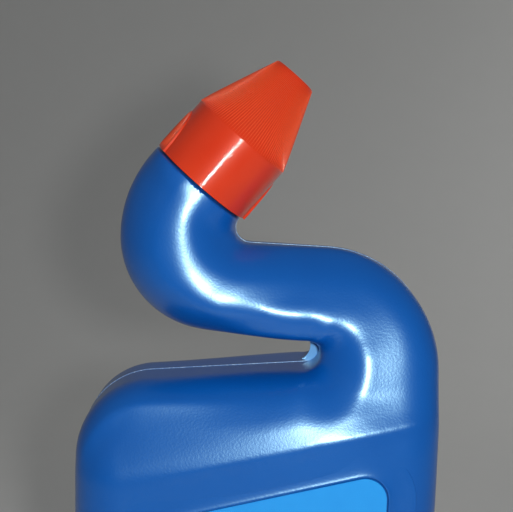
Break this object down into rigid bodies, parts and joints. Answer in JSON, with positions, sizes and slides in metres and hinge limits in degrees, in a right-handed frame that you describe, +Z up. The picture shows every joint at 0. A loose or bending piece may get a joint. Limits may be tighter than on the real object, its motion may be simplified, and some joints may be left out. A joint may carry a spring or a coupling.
{
  "type": "duck-neck toilet cleaner bottle",
  "caption": "Flat blow-moulded bottle with an S-shaped duck neck, a squeeze-and-turn cone cap, a dosing plug and bare label panels.",
  "frame": {"origin": "centre of the standing plane under the body, on the floor", "axes": "+Z up, +X across the wide face towards the side the neck rises from, front face towards -Y"},
  "size_m": [0.112, 0.062, 0.2539],
  "materials": {
    "bottle_blue": "satin gloss blow-moulded polyethylene",
    "plug_plastic": "natural moulded polyethylene",
    "cap_red": "gloss injection-moulded polypropylene",
    "seal_foam": "matte foam liner",
    "label_film": "satin film"
  },
  "bodies": {
    "bottle_body": {"bottle": "bottle_blue", "nozzle_insert": "plug_plastic", "front_label": "label_film", "back_label": "label_film"},
    "seal_body": {"cap_seal": "seal_foam"},
    "cap_body": {"cap": "cap_red"}
  },
  "joints": [
    {"name": "cap_lift", "type": "slide", "parent": "bottle_body", "child": "seal_body", "axis": [0.6428, 0, 0.766], "range_m": [0, 0.0297]},
    {"name": "cap_turn", "type": "hinge", "parent": "seal_body", "child": "cap_body", "pos_m": [-0.01885, 0, 0.21584], "axis": [0.6428, 0, 0.766], "range_deg": [0, 2520]}
  ],
  "couplings": [
    {"joint": "cap_lift", "follows": "cap_turn", "m_per_rad": 0.000673}
  ]
}
